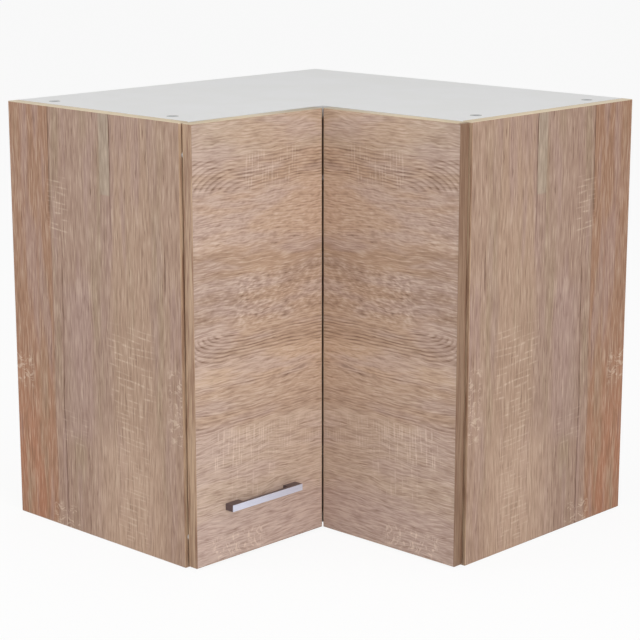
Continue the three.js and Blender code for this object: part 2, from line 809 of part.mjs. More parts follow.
function buildHinges() {
  for (const [place, level] of Object.entries(hingeLevels)) {
    const panelEdge = wings.right(insideEnd, wingDepth, level);
    const panelTurn = [0, 0, Math.PI / 2];
    addMesh(carcass, `side_hinge_plate_${place}`, mountingPlate(), 'steel', panelEdge, panelTurn);
    addMesh(carcass, `side_hinge_arm_${place}`, sideArm(), 'steel', panelEdge, panelTurn);
    addMesh(doors, `side_hinge_arm_link_${place}`, link(armPivot, 1), 'steel', panelEdge, panelTurn);
    addMesh(doors, `side_hinge_cup_link_${place}`, link(cupPivot, -1), 'steel', panelEdge, panelTurn);
    addMesh(doors, `side_hinge_cup_${place}`, linkedCup(), 'steel',
      wings.right(sideCupAlong, doorBack, level));
    const leafEdge = wings.right(leafInnerEnd, doorBack, level);
    addMesh(doors, `fold_hinge_plate_${place}`, mountingPlate(), 'steel', leafEdge);
    addMesh(doors, `fold_hinge_arm_${place}`, foldArm(), 'steel', leafEdge);
    addMesh(doors, `fold_hinge_cup_${place}`, hingeCup(), 'steel',
      wings.left(foldCupAlong, doorBack, level), [0, 0, Math.PI / 2]);
  }
}

function buildHangers() {
  for (const wing of ['left', 'right']) {
    addBoard(carcass, `hanger_housing_${wing}`, hangerHousing(wing), 'plastic');
    addBoard(carcass, `hanger_hook_${wing}`, hangerHook(wing), 'steel');
  }
}

buildCarcass();
buildJointHardware();
buildShelfPins();
buildDoors();
buildHinges();
buildHangers();

export default cabinet;
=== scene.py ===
import json
import math
from functools import reduce
import bmesh
import bpy
import numpy as np
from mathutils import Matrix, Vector

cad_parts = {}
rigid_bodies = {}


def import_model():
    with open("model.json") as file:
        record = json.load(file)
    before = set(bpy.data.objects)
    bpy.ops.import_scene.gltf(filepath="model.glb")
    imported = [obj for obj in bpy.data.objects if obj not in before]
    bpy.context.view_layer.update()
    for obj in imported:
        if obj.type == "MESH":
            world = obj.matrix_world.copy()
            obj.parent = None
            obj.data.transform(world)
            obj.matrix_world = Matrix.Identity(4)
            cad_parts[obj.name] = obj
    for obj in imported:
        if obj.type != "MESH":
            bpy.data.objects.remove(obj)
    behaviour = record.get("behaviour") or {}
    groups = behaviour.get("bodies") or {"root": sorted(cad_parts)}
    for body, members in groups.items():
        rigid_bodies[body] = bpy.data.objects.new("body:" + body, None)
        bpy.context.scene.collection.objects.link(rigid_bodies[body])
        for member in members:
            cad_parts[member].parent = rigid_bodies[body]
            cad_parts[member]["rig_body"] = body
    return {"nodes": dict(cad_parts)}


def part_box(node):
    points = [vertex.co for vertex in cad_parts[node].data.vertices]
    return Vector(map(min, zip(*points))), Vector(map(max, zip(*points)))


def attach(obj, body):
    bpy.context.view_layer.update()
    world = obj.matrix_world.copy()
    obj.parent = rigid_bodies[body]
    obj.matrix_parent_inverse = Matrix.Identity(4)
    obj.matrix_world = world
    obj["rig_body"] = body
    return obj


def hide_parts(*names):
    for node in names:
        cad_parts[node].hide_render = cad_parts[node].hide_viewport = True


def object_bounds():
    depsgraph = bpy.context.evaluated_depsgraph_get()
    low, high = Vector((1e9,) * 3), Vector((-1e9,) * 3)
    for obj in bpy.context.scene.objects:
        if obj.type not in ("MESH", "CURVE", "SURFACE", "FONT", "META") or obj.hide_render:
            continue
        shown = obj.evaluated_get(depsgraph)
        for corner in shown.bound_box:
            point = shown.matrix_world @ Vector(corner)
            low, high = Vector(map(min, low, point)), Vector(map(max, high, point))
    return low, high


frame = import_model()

cadLow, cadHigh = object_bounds()
mm = 0.001

# where the boards lie, read from the frame: the walls are behind -X and +Y
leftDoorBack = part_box("left_door")[0].x
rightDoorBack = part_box("right_door")[1].y
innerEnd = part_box("right_door")[0].x
halfPlan = -cadLow.x


class Wiring:  # the nodes of a new material, or of the owner given, and short ways to add them
    def __init__(self, name, owner=None):
        self.owner = owner or bpy.data.materials.new(name)
        self.owner.use_nodes = True
        self.tree = self.owner.node_tree
        self.tree.nodes.clear()

    def add(self, kind, values=(), output=0, **settings):
        # a new node with values or sockets fed to its inputs; gives back one of its outputs
        node = self.tree.nodes.new(kind)
        for key, value in settings.items():
            setattr(node, key, value)
        for entry, value in values:
            self.feed(node.inputs[entry], value)
        return node.outputs[output] if len(node.outputs) else None

    def feed(self, socket, value):
        if isinstance(value, bpy.types.NodeSocket):
            self.tree.links.new(value, socket)
        else:
            socket.default_value = paint(*value) if isinstance(value, tuple) else value

    def place(self):
        return self.add("ShaderNodeTexCoord", output="Object")

    def math(self, operation, *values):
        return self.add("ShaderNodeMath", enumerate(values), operation=operation)

    def sum(self, *values):
        return reduce(lambda total, value: self.math("ADD", total, value), values)

    def times(self, *values):
        return reduce(lambda product, value: self.math("MULTIPLY", product, value), values)

    def less(self, value, taken):
        return self.math("SUBTRACT", value, taken)

    def offset(self, value, at):  # how far a value lies from a place, on either side
        return self.math("ABSOLUTE", self.less(value, at))

    def split(self, vector):
        return self.add("ShaderNodeSeparateXYZ", [(0, vector)]).node.outputs[:]

    def join(self, *parts):
        return self.add("ShaderNodeCombineXYZ", enumerate(parts))

    def noise(self, vector, scale=1.0, detail=2.0, roughness=0.5):
        return self.add("ShaderNodeTexNoise", (("Vector", vector), ("Scale", scale), ("Detail", detail),
                                               ("Roughness", roughness)))

    def stretched(self, across, along, sizes, detail=2.0, roughness=0.5, seed=0.0):
        # noise whose cells are sizes[0] metres wide across the grain and sizes[1] long
        scaled = [self.math("DIVIDE", value, size) for value, size in zip((across, along), sizes)]
        return self.noise(self.join(*scaled, seed), 1.0, detail, roughness)

    def tone(self, across, along, sizes, strength, detail=2.0, seed=0.0):
        # the same noise, spread to run from -strength to +strength
        value = self.stretched(across, along, sizes, detail, 0.6, seed)
        return self.span(value, 0.30, 0.70, -strength, strength, "LINEAR")

    def wander(self, across, along, sizes, amount, detail=2.0):
        # the same noise, centred on nought and times the amount
        return self.times(self.less(self.stretched(across, along, sizes, detail), 0.5), amount)

    def span(self, value, low, high, start=0.0, end=1.0, kind="SMOOTHSTEP"):
        # from start, where the value is low, to end, where it is high
        return self.add("ShaderNodeMapRange", enumerate((value, low, high, start, end)),
                        interpolation_type=kind)

    def within(self, value, low, high, soft):
        # 1 between low and high, fading over soft at each end
        rise, fall = self.span(value, low - soft, low + soft), self.span(value, high + soft, high - soft)
        return self.times(rise, fall)

    def patch(self, across, along, box, soft):
        # 1 inside a box of (across low, high, along low, high) metres
        return self.times(self.within(across, *box[:2], soft), self.within(along, *box[2:], soft))

    def mix(self, factor, a, b):
        return self.add("ShaderNodeMix", ((0, factor), (6, a), (7, b)), 2, data_type="RGBA")

    def bump(self, height, distance):
        return self.add("ShaderNodeBump", (("Distance", distance), ("Height", height)))

    def surface(self, colour, roughness, normal, metallic=0.0, specular=0.5):
        return self.close(self.add("ShaderNodeBsdfPrincipled", (
            ("Base Color", colour), ("Roughness", roughness), ("Normal", normal), ("Metallic", metallic),
            ("Specular IOR Level", specular))))

    def seenDirectly(self):
        # 1 for the camera and for what mirrors and glass show it, 0 for the light that falls on the object
        rays = self.add("ShaderNodeLightPath").node.outputs
        mirrored = self.math("MAXIMUM", rays["Is Glossy Ray"], rays["Is Transmission Ray"])
        return self.math("MAXIMUM", rays["Is Camera Ray"], mirrored)

    def close(self, shader, kind="ShaderNodeOutputMaterial"):
        self.add(kind, [("Surface", shader)])
        return self.owner


def paint(red, green, blue):  # a display colour, 0 to 255, as the linear colour that a shader wants
    def linear(value):
        value /= 255
        return value / 12.92 if value <= 0.04045 else ((value + 0.055) / 1.055) ** 2.4
    return (linear(red), linear(green), linear(blue), 1.0)


# The oak pattern is the same on both wings. Lengths are in metres, colours as displayed, 0 to 255. A box
# says where a patch lies: across the grain from, to, and along it from, to.

sideOak = dict(
    # tints from the wall outwards: where each begins, how softly, and its colour
    bands=((0.0, 0.002, (158, 120, 95)), (0.083, 0.003, (162, 133, 116)), (0.15, 0.03, (164, 136, 119)),
           (0.207, 0.01, (171, 142, 121)), (0.3, 0.016, (167, 138, 119))),
    # rust near the wall: colour, heights and distances over which it fades in, cells, strength
    rust=((170, 114, 84), (0.34, 0.05), (0.095, 0.05), (0.03, 0.14), 0.72),
    # olive and rose clouds: cells, seed, where they are full, colour
    clouds=(((0.028, 0.3), 2.3, 0.68, (156, 133, 108)), ((0.024, 0.22), 6.1, 0.66, (166, 137, 127))),
    cloudStrength=0.6,
    # a mauve patch, a pale foot and a pale strip: box, how softly it ends, strength, colour
    patches=(((0.108, 0.16, 0.13, 0.345), 0.016, 0.7, (166, 138, 127)),
             ((0.17, 0.29, -0.1, 0.15), 0.03, 0.75, (184, 155, 134)),
             ((0.187, 0.207, 0.475, 0.6), 0.0016, 0.75, (168, 152, 133))),
    deep=(108, 80, 62), bright=(210, 187, 166),
    # dark joints of the pattern: distance from the wall, lowest and highest point
    joints=((0.0825, 0.44, 0.6), (0.2075, 0.43, 0.6), (0.1035, -0.02, 0.375), (0.312, 0.36, 0.43)),
    jointEdges=(0.0022, 0.0004), jointStrength=0.62,
    # sawn patches: box, pitch of the marks, strength
    sawn=(((0.082, 0.118, 0.408, 0.49), 0.0072, 0.46), ((0.198, 0.286, 0.2, 0.304), 0.0082, 0.48),
          ((0.212, 0.272, 0.008, 0.198), 0.0062, 0.44), ((0.1, 0.15, 0.12, 0.17), 0.007, 0.26)),
    curls=((0.316, 0.345, 0.162, 0.262), (-0.01, 0.036, 0.187, 0.232), (0.075, 0.13, -0.01, 0.032)),
    # grain tones: width and length of their cells, strength
    fine=((0.0028, 0.036), 0.38), streak=((0.0046, 0.09), 0.09), band=((0.024, 0.5), 0.04),
    pore=((0.0028, 0.026), 0.44),
    lines=(0.0041, 3.2, 0.13),  # regular grain lines: pitch, turns that their phase drifts, strength
    # how the grain sways and ripples: cells, amount; and the depth of its relief
    sway=((0.1, 0.22), 0.01), ripple=((0.008, 0.016), 0.0024), bump=0.00022,
)

doorOak = dict(
    pale=(188, 165, 146), tan=(189, 162, 142), brown=(172, 143, 122), taupe=(171, 144, 126),
    peach=(192, 164, 145), amber=(200, 172, 149), foot=(194, 170, 152), rosy=(190, 166, 155),
    tawny=(192, 161, 136), deep=(122, 93, 74), bright=(226, 206, 190),
    # cells of the tawny and rosy patches; how much painted shade darkens the right leaf outwards and at its
    # foot
    tawnyCells=(0.05, 0.16), rosyCells=(0.024, 0.11), rosyStrength=0.65, shade=0.2, footShade=0.09,
    # the tints from the bottom up: name and height at which each gives way to the next, and how softly
    zones=(("rosy", 0.06), ("foot", 0.178), ("tan", 0.235), ("amber", 0.275), ("tan", 0.312),
           ("taupe", 0.382), ("brown", 0.417), ("peach", 0.487), ("tan", 0.533), ("pale", 0.6)),
    zoneSoft=0.007,
    # ring lines round a heart line: its height, where their tips start, how far they reach, how sharply and
    # how deep they close, how far from the heart that fades, heights at which they show, strength
    rings=((0.305, 0.16, 0.074, 1.8, 0.024, 0.05, (0.272, 0.304), 0.52),
           (0.485, 0.07, 0.164, 1.8, 0.041, 0.12, (0.491, 0.533), 0.44),
           (0.14, 0.3, 0.086, 1.0, 0.01, 0.04, (0.18, 0.206), 0.24),
           (0.2, 0.3, 0.086, 1.0, 0.01, 0.04, (0.231, 0.242), 0.34)),
    ringPitch=0.0042, ringSoft=0.004, ringCells=(0.007, 0.12),
    # sawn patches: box, pitch of the marks, strength
    sawn=(((0.126, 0.178, 0.11, 0.208), 0.0046, 0.46), ((0.128, 0.172, 0.005, 0.12), 0.005, 0.3),
          ((0.49, 0.536, 0.046, 0.142), 0.0052, 0.34), ((0.074, 0.122, 0.09, 0.17), 0.01, 0.3)),
    curls=((0.005, 0.034, 0.112, 0.206),),
    # patches of short slanting dashes: box, strength
    dashed=(((0.31, 0.382, -0.02, 0.16), 1.0), ((0.318, 0.376, 0.12, 0.25), 0.5),
            ((0.415, 0.487, -0.02, 0.25), 0.55), ((0.205, 0.27, 0.0, 0.12), 0.45)),
    dashSoft=0.01, dashLean=0.2,
    # grain tones, regular grain lines and wanderings, as on the sides
    fine=((0.0027, 0.026), 0.38), streak=((0.0056, 0.08), 0.1), band=((0.024, 0.24), 0.05),
    pore=((0.003, 0.02), 0.34), dash=((0.004, 0.0105), 0.32),
    lines=(0.0031, 3.2, 0.13),
    sway=((0.075, 0.16), 0.018), ripple=((0.013, 0.044), 0.005), ragged=((0.02, 0.06), 0.016),
    bump=0.00026,
)

# what both share: saw marks, curls, clusters of pores and the gloss of the printed film
saw = dict(wobbleLength=0.11, wobble=1.6, lean=0.05, half=0.001, widest=0.22, cutLength=0.03,
           grain=(0.004, 0.03), soft=0.008)
curl = dict(fineness=60, wander=0.03, cells=(0.016, 0.005), soft=0.006, strength=0.5)
poreCluster = (0.022, 0.07)
film = dict(gloss=(0.5, 0.64), specular=0.25)


def sawMarks(w, across, along, look):
    # thin pale marks across the grain, in patches: each lies one pitch from the next, more or less, is cut
    # into lengths and is crossed by the grain
    marks = []
    for box, pitch, strength in look["sawn"]:
        wobble = w.stretched(across, along, (saw["wobbleLength"], pitch * 3), 1.0)
        shifted = w.sum(along, w.times(wobble, pitch * saw["wobble"]), w.times(across, saw["lean"]))
        place = w.math("FRACT", w.math("DIVIDE", shifted, pitch))
        half = min(saw["half"] / pitch, saw["widest"])
        line = w.span(w.offset(place, 0.5), half * 1.6, half * 0.5)
        cut = w.span(w.stretched(across, along, (saw["cutLength"], pitch * 0.9), 1.0, seed=9.2), 0.44, 0.58)
        grain = w.span(w.stretched(across, along, saw["grain"], seed=5.5), 0.36, 0.60, 0.25, 1.0)
        marks.append(w.times(line, cut, grain, w.patch(across, along, box, saw["soft"]), strength))
    return w.sum(*marks)


def curlMarks(w, across, along, look):
    # short bright curls where the cut ran against the grain
    wander = w.times(w.less(w.noise(w.join(across, along), curl["fineness"]), 0.5), curl["wander"])
    mark = w.stretched(w.sum(across, wander), w.sum(along, wander), curl["cells"], 3.0, 0.6)
    patches = [w.patch(across, along, box, curl["soft"]) for box in look["curls"]]
    return w.times(w.span(mark, 0.51, 0.60), w.sum(*patches), curl["strength"])


def grainTone(w, across, along, look):
    # fine lines, streaks and broad bands added up, clustered dark pores taken off; -1 is dark, 1 is light
    tones = [w.tone(across, along, *look[kind], seed=seed)
             for kind, seed in (("fine", 0.0), ("streak", 3.3), ("band", 7.7))]
    # regular lines: the sine of (across / pitch + a slow drift) turns
    pitch, turns, strength = look["lines"]
    drift = w.stretched(across, along, (pitch * 4, pitch * 18), seed=11.3)
    phase = w.sum(w.math("DIVIDE", across, pitch), w.times(drift, turns))
    wave = w.math("SINE", w.times(phase, 2 * math.pi))
    uneven = w.stretched(across, along, (pitch * 3, pitch * 12), seed=13.9)
    tones.append(w.times(wave, w.span(uneven, 0.34, 0.62, 0.25, 1.0), strength))
    cells, strength = look["pore"]
    pore = w.span(w.stretched(across, along, cells, 2.0, 0.6, 5.1), 0.42, 0.30)
    cluster = w.span(w.stretched(across, along, poreCluster, seed=1.7), 0.42, 0.60)
    tones.append(w.times(pore, cluster, -strength))
    return w.sum(*tones)


def finishOak(w, colour, tone, marks, look):
    # a negative tone turns the colour towards the deep tint, a positive one and marks towards the bright
    dark = w.math("MAXIMUM", w.times(tone, -1.0), 0.0)
    light = w.sum(w.math("MAXIMUM", tone, 0.0), marks)
    toned = w.mix(light, w.mix(dark, colour, look["deep"]), look["bright"])
    relief = w.bump(w.less(w.times(light, 0.5), dark), look["bump"])
    return w.surface(toned, w.span(dark, 0.0, 0.5, *film["gloss"]), relief, specular=film["specular"])


def sideOakMaterial():
    w = Wiring("oakUpright")
    look = sideOak
    x, y, z = w.split(w.place())
    fromWall = w.sum(w.math("MINIMUM", x, w.times(y, -1.0)), halfPlan)
    across = w.sum(fromWall, w.wander(fromWall, z, *look["sway"]))
    colour = look["bands"][0][2]
    for start, soft, tint in look["bands"][1:]:
        colour = w.mix(w.span(across, start - soft, start + soft), colour, tint)
    rust, heights, reach, cells, strength = look["rust"]
    low = w.times(w.span(z, *heights), w.span(across, *reach))
    rusty = w.span(w.stretched(across, z, cells), 0.26, 0.50)
    colour = w.mix(w.times(low, rusty, strength), colour, rust)
    for cells, seed, full, tint in look["clouds"]:
        cloud = w.span(w.stretched(across, z, cells, seed=seed), 0.50, full, 0.0, look["cloudStrength"])
        colour = w.mix(cloud, colour, tint)
    for box, soft, strength, tint in look["patches"]:
        colour = w.mix(w.times(w.patch(across, z, box, soft), strength), colour, tint)
    tone = grainTone(w, w.sum(across, w.wander(across, z, *look["ripple"], 1.0)), z, look)
    for at, lowest, highest in look["joints"]:
        line = w.span(w.offset(across, at), *look["jointEdges"])
        tone = w.less(tone, w.times(line, w.within(z, lowest, highest, 0.012), look["jointStrength"]))
    marks = w.sum(sawMarks(w, across, z, look), curlMarks(w, across, z, look))
    return finishOak(w, colour, tone, marks, look)


def ringLines(w, height, along, look):
    # thin dark lines at equal distances from a heart line, the distance being the root of (height above it
    # squared + depth squared); the depth grows outwards, so the lines close there in long tips
    lines = []
    for heart, start, reach, power, depth, fade, zone, strength in look["rings"]:
        rise = w.math("MAXIMUM", 0.0, w.math("DIVIDE", w.less(along, start), reach))
        above = w.less(height, heart)
        near = w.span(w.math("ABSOLUTE", above), fade, fade * 0.5)
        inward = w.times(w.math("POWER", rise, power), depth, near)
        distance = w.math("SQRT", w.sum(w.times(above, above), w.times(inward, inward)))
        phase = w.math("FRACT", w.math("DIVIDE", distance, look["ringPitch"]))
        late = w.times(w.span(phase, 0.35, 0.70), w.span(phase, 1.0, 0.86))
        lines.append(w.times(late, w.within(height, *zone, look["ringSoft"]), strength))
    broken = w.span(w.stretched(height, along, look["ringCells"]), 0.32, 0.50, 0.40, 1.0)
    return w.times(w.sum(*lines), broken)


def doorOakMaterial():
    w = Wiring("oakLevel")
    look = doorOak
    x, y, z = w.split(w.place())
    fromCorner = w.less(w.math("MAXIMUM", x, w.times(y, -1.0)), innerEnd)
    gentle = w.sum(z, w.wander(z, fromCorner, *look["sway"]))
    quick = w.wander(z, fromCorner, *look["ripple"])
    height = w.sum(gentle, quick)
    ragged = w.sum(height, w.wander(z, fromCorner, *look["ragged"], 3.0))
    colour = look[look["zones"][0][0]]
    for (_, edge), (tint, _) in zip(look["zones"], look["zones"][1:]):
        colour = w.mix(w.span(ragged, edge - look["zoneSoft"], edge + look["zoneSoft"]), colour, look[tint])
    # tawny towards the corner, rosy outwards, both in drifting patches
    inner = w.less(w.stretched(height, fromCorner, look["tawnyCells"], seed=4.2), w.times(fromCorner, 1.1))
    inner = w.times(w.span(inner, 0.22, 0.46), w.span(z, 0.14, 0.26, 0.12, 0.55))
    colour = w.mix(inner, colour, look["tawny"])
    outer = w.sum(w.stretched(height, fromCorner, look["rosyCells"], seed=8.4), w.times(fromCorner, 0.7))
    colour = w.mix(w.times(w.span(outer, 0.50, 0.72), look["rosyStrength"]), colour, look["rosy"])
    # painted shade: the right leaf is made a little darker towards its outer edge and its foot
    rightLeaf = w.span(w.sum(x, y), 0.0, 0.005)
    paintedShadeOutwards = w.span(fromCorner, 0.13, 0.234, 0.0, look["shade"])
    paintedShadeDownwards = w.span(z, 0.20, 0.12, 0.0, look["footShade"])
    for shade in (paintedShadeOutwards, paintedShadeDownwards):
        colour = w.mix(w.times(rightLeaf, shade), colour, look["deep"])
    slant = w.sum(height, w.times(fromCorner, look["dashLean"]))
    dashes = w.tone(slant, fromCorner, *look["dash"], 1.0, 2.9)
    dashed = [w.times(w.patch(height, fromCorner, box, look["dashSoft"]), strength)
              for box, strength in look["dashed"]]
    tone = w.sum(grainTone(w, height, fromCorner, look), w.times(dashes, w.sum(*dashed)))
    tone = w.less(tone, ringLines(w, w.sum(gentle, w.times(quick, 0.3)), fromCorner, look))
    marks = w.sum(sawMarks(w, z, fromCorner, look), curlMarks(w, z, fromCorner, look))
    return finishOak(w, colour, tone, marks, look)


# the strip: cells of its lines and clouds; a painted highlight along the top edges: colour, heights, strength;
# painted shade down the right leaf's outer edge: colour, place along X and Y, strength
edgeBandOak = dict(
    light=(188, 159, 132), dark=(138, 104, 82), line=(0.0026, 0.060), cloud=(0.009, 0.20), bump=0.00008,
    cream=((226, 212, 184), (0.5802, 0.5812), 0.75),
    umber=((112, 82, 62), (0.2900, 0.2950), (-0.0425, -0.0435), 0.62),
)


def edgeBandMaterial():
    # the oak-look strip on the boards' edges: its grain runs with the strip, read from the strip's own map
    w = Wiring("oakEdgeBand")
    look = edgeBandOak
    along, across, _ = w.split(w.add("ShaderNodeUVMap", uv_map="run"))
    line = w.stretched(across, along, look["line"], 3.0, 0.6)
    cloud = w.stretched(across, along, look["cloud"], seed=4.0)
    mixed = w.span(w.sum(w.times(line, 0.6), w.times(cloud, 0.4)), 0.40, 0.62)
    colour = w.mix(mixed, look["light"], look["dark"])
    x, y, z = w.split(w.place())
    # painted highlight: the strips along the top edges are made lighter, as if lit from above
    cream, heights, strength = look["cream"]
    colour = w.mix(w.span(z, *heights, 0.0, strength), colour, cream)
    # painted shade: the strip down the right leaf's outer edge is made darker
    umber, acrossX, acrossY, strength = look["umber"]
    outerEdge = w.times(w.span(x, *acrossX), w.span(y, *acrossY))
    colour = w.mix(w.times(outerEdge, strength), colour, umber)
    return w.surface(colour, 0.5, w.bump(line, look["bump"]), specular=0.35)


# plain finishes: fine grain (cells to the metre, detail, roughness), cells to the metre of the clouds,
# gloss (least and most roughness), depth of the relief
melamine = dict(grain=(900, 3, 0.6), cloud=14, gloss=(0.50, 0.60), bump=0.00004, specular=0.22)
castZinc = dict(grain=(900, 3, 0.6), cloud=72, gloss=(0.44, 0.58), bump=0.00002, metallic=0.30)
nickelPlate = dict(grain=(1200, 3, 0.6), cloud=96, gloss=(0.22, 0.36), bump=0.00002, metallic=1.0)
softPlastic = dict(grain=(1500, 2, 0.5), cloud=60, gloss=(0.25, 0.35), bump=0.00003)
hardPlastic = dict(softPlastic, gloss=(0.40, 0.50))


def plainMaterial(name, light, dark, grain, cloud, gloss, bump, metallic=0.0, specular=0.5):
    # fine grain in the gloss and the relief, slow clouds between the two tints in the colour
    w = Wiring(name)
    place = w.place()
    fine = w.noise(place, *grain)
    colour = w.mix(w.span(w.noise(place, cloud), 0.3, 0.7), light, dark)
    return w.surface(colour, w.span(fine, 0.3, 0.7, *gloss), w.bump(fine, bump), metallic, specular)


# the bare materials: tints, cells to the metre and depth of the relief
chip = dict(light=(206, 178, 138), dark=(158, 124, 84), gap=(96, 70, 46), chips=420, dust=1500,
            bump=0.0002)
fibre = dict(light=(170, 132, 94), dark=(144, 108, 74), grain=(700, 4, 0.7), rough=0.8, bump=0.00012,
             specular=0.25, cloudy=(182, 146, 106))
beech = dict(light=(205, 170, 124), dark=(178, 138, 92), grain=(500, 3, 0.6), rough=0.7, bump=0.0001,
             specular=0.5)


def chipMaterial():
    # raw chipboard: flat chips of several tones with dark gaps
    w = Wiring("rawChipboard")
    place = w.place()
    chips = w.add("ShaderNodeTexVoronoi", (("Vector", place), ("Scale", chip["chips"])), "Color")
    tone = w.split(chips)[0]
    dust = w.noise(place, chip["dust"], 3, 0.7)
    colour = w.mix(tone, chip["light"], chip["dark"])
    colour = w.mix(w.span(dust, 0.60, 0.72), colour, chip["gap"])
    return w.surface(colour, 0.85, w.bump(w.sum(tone, dust), chip["bump"]), specular=0.25)


def fibreMaterial(name, look):
    # fine fibres or flecks, with slow clouds where the look has a tint for them
    w = Wiring(name)
    place = w.place()
    fine = w.noise(place, *look["grain"])
    colour = w.mix(w.span(fine, 0.35, 0.65), look["light"], look["dark"])
    if "cloudy" in look:
        colour = w.mix(w.span(w.noise(place, 22, 3, 0.6), 0.4, 0.7, 0.0, 0.25), colour, look["cloudy"])
    return w.surface(colour, look["rough"], w.bump(fine, look["bump"]), specular=look["specular"])


brush = dict(cells=(2600.0, 60.0, 2600.0), gloss=(0.32, 0.44), bump=0.00002)


def brushedMaterial(name, light, dark, metallic):
    # satin metal brushed along the handle, which lies along Y
    w = Wiring(name)
    scaled = [w.times(part, cells) for part, cells in zip(w.split(w.place()), brush["cells"])]
    lines = w.noise(w.join(*scaled), 1.0, 3, 0.7)
    colour = w.mix(w.span(lines, 0.3, 0.7), light, dark)
    gloss = w.span(lines, 0.3, 0.7, *brush["gloss"])
    return w.surface(colour, gloss, w.bump(lines, brush["bump"]), metallic)


print("mixing the finishes")
finish = {
    "oakUpright": sideOakMaterial(),
    "oakLevel": doorOakMaterial(),
    "oakBand": edgeBandMaterial(),
    "whiteBoard": plainMaterial("whiteMelamine", (231, 231, 231), (229, 229, 228), **melamine),
    "whiteHardboard": plainMaterial("whiteFacedHardboard", (235, 234, 230), (232, 231, 227),
                                    **melamine),
    "chipboard": chipMaterial(),
    "fibre": fibreMaterial("brownFibre", fibre),
    "beech": fibreMaterial("beechWood", beech),
    "zinc": plainMaterial("dullZinc", (172, 173, 173), (154, 155, 156), **castZinc),
    "steel": plainMaterial("nickelPlate", (190, 190, 192), (170, 170, 173), **nickelPlate),
    # lit and shaded copies of one satin metal for the handle: a painted light front and painted shade on its
    # other faces
    "satin": brushedMaterial("satinFront", (222, 226, 242), (208, 212, 230), 0.35),
    "satinSide": brushedMaterial("satinSides", (128, 116, 120), (108, 96, 100), 0.75),
    "bumper": plainMaterial("softBumper", (214, 214, 214), (202, 202, 204), **softPlastic),
    "plastic": plainMaterial("mouldedPlastic", (233, 231, 225), (225, 223, 216), **hardPlastic),
}

# each finish: its slot, then how the names of the nodes that have it begin; the first that fits counts
finishPlan = {
    "steel": ("plated_steel", "shelf_pin", "cam_bolt", "handle_screw", "hanger_hook", "side_hinge",
              "fold_hinge"),
    "oakUpright": ("oak_upright", "left_end_panel", "right_end_panel"),
    "oakLevel": ("oak_front", "left_door", "right_door"),
    "whiteBoard": ("white_board", "top_panel", "bottom_panel", "shelf", "rear_corner_post"),
    "whiteHardboard": ("white_hardboard", "left_back_panel", "right_back_panel"),
    "beech": ("beech_dowel", "dowel"),
    "zinc": ("zinc_casting", "cam_"),
    "satin": ("satin_handle", "handle"),
    "bumper": ("clear_bumper", "door_bumper"),
    "plastic": ("white_plastic", "hanger_housing"),
}


def finishFor(node):
    return next(name for name, (_, *starts) in finishPlan.items() if node.startswith(tuple(starts)))


def bodyOf(node):
    return frame["nodes"][node]["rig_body"]


def pieceName(node):  # side_hinge_cup_lower becomes sideHingeCupLower
    first, *rest = node.split("_")
    return first + "".join(word.capitalize() for word in rest)


def finishNodes():
    for name, node in frame["nodes"].items():
        node.data.materials.clear()
        node.data.materials.append(finish[finishFor(name)])


def readArray(collection, attribute, width, kind=float):
    values = np.empty(len(collection) * width, kind)
    collection.foreach_get(attribute, values)
    return values.reshape(-1, width)


def gridFaces(rows, columns, closeRows, closeColumns):
    # squares of a grid of points numbered row by row; a closed direction joins its last line to its first
    row = np.arange(rows if closeRows else rows - 1)[:, None]
    column = np.arange(columns if closeColumns else columns - 1)[None, :]
    below, beside = (row + 1) % rows, (column + 1) % columns
    row, below = row * columns, below * columns
    return np.stack((row + column, row + beside, below + beside, below + column), -1).reshape(-1, 4)


def mergedMesh(name, points, faces):
    # a new mesh and its editable copy, in which points that meet are merged
    mesh = bpy.data.meshes.new(name)
    mesh.from_pydata(points.tolist(), [], faces)
    built = bmesh.new()
    built.from_mesh(mesh)
    bmesh.ops.remove_doubles(built, verts=built.verts, dist=0.003 * mm)
    return mesh, built


def smoothMesh(mesh, built):
    built.to_mesh(mesh)
    built.free()
    mesh.shade_smooth()
    return mesh


def closedMesh(name, points, faces):
    mesh, built = mergedMesh(name, points, faces)
    bmesh.ops.recalc_face_normals(built, faces=built.faces)
    return smoothMesh(mesh, built)


def addPiece(name, mesh, finishName, body, nodes=()):
    if not mesh.materials:
        mesh.materials.append(finish[finishName])
    piece = bpy.data.objects.new(name, mesh)
    bpy.context.collection.objects.link(piece)
    piece.modifiers.new("evenNormals", "WEIGHTED_NORMAL").keep_sharp = False
    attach(piece, body)
    if nodes:
        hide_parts(*nodes)


def standIn(node, mesh, finishName, extra=""):
    # a piece in the place of a node, named after it
    addPiece(pieceName(node) + extra, mesh, finishName, bodyOf(node), (node,))


rounding = dict(onPlane=0.02 * mm, flat=math.radians(1), sharp=math.radians(35), nearFace=0.2 * mm,
                facing=0.6)


def roundedMesh(node, width, shortest, steps=2, shifts=()):
    # the node's own shape, its flat faces joined up and its long sharp edges rounded; each shift first
    # moves all that lies on a plane: axis, place, way
    source = frame["nodes"][node].data
    points = readArray(source.vertices, "co", 3)
    for axis, place, way in shifts:
        points[np.abs(points[:, axis] - place) < rounding["onPlane"], axis] = place + way
    triangles = readArray(source.loops, "vertex_index", 1, int).reshape(-1, 3)
    mesh, built = mergedMesh(pieceName(node), points, triangles.tolist())
    bmesh.ops.dissolve_limit(built, angle_limit=rounding["flat"], verts=built.verts, edges=built.edges)
    sharp = [edge for edge in built.edges if edge.is_manifold and edge.calc_length() > shortest
             and edge.calc_face_angle() > rounding["sharp"]]
    bmesh.ops.bevel(built, geom=sharp, offset=width, offset_type="OFFSET", segments=steps, profile=0.5,
                    affect="EDGES", clamp_overlap=True)
    return smoothMesh(mesh, built)


